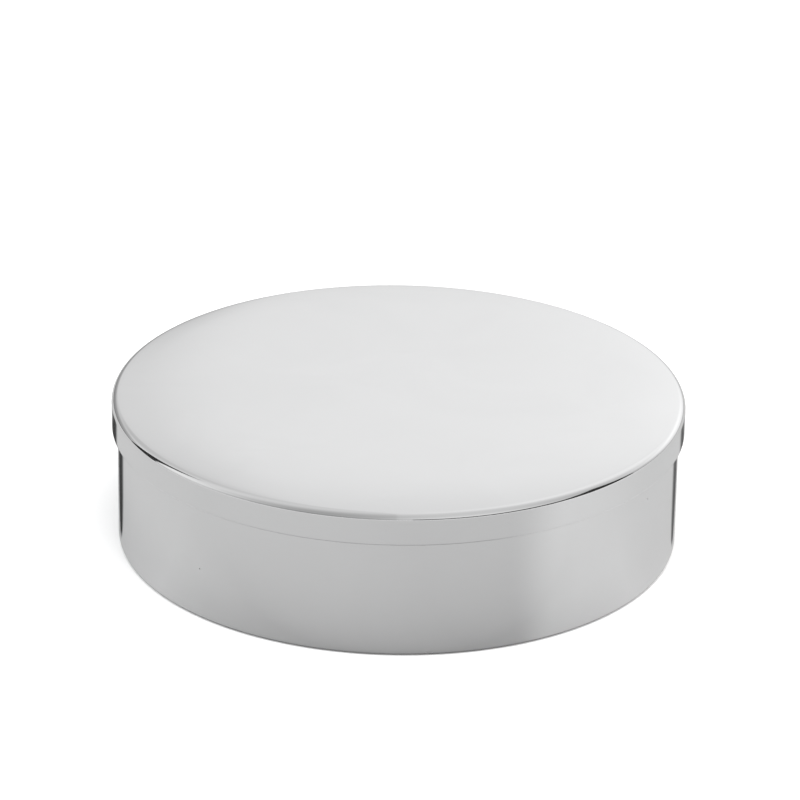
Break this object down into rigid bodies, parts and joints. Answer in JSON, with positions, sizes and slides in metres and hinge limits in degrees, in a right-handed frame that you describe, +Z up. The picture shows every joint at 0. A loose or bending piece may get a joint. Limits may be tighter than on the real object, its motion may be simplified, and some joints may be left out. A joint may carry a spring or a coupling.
{
  "type": "candle tin",
  "caption": "Shallow round seamless tin with a slip-over lid, filled with wax around a wick that stands in a crimped sustainer.",
  "frame": {"origin": "centre of the base's standing ring, on the surface that the tin stands on", "axes": "+Z up along the tin's axis; the tin is round, so +X and +Y are free; the usual view looks along +Y"},
  "size_m": [0.084, 0.084, 0.0225],
  "materials": {
    "tinplate": "bright tinplate, mirror polished",
    "wax": "poured wax, slightly translucent, soft satin",
    "cotton": "waxed braided cotton",
    "zinc_steel": "pressed zinc-plated steel",
    "foam": "white adhesive foam"
  },
  "bodies": {
    "tin": {"tin_body": "tinplate", "wax_fill": "wax", "wick": "cotton", "wick_sustainer": "zinc_steel", "wick_sticker": "foam"},
    "lid": {"tin_lid": "tinplate"}
  },
  "joints": [
    {"name": "lid_lift", "type": "slide", "parent": "tin", "child": "lid", "axis": [0, 0, 1], "range_m": [0, 0.05]}
  ]
}
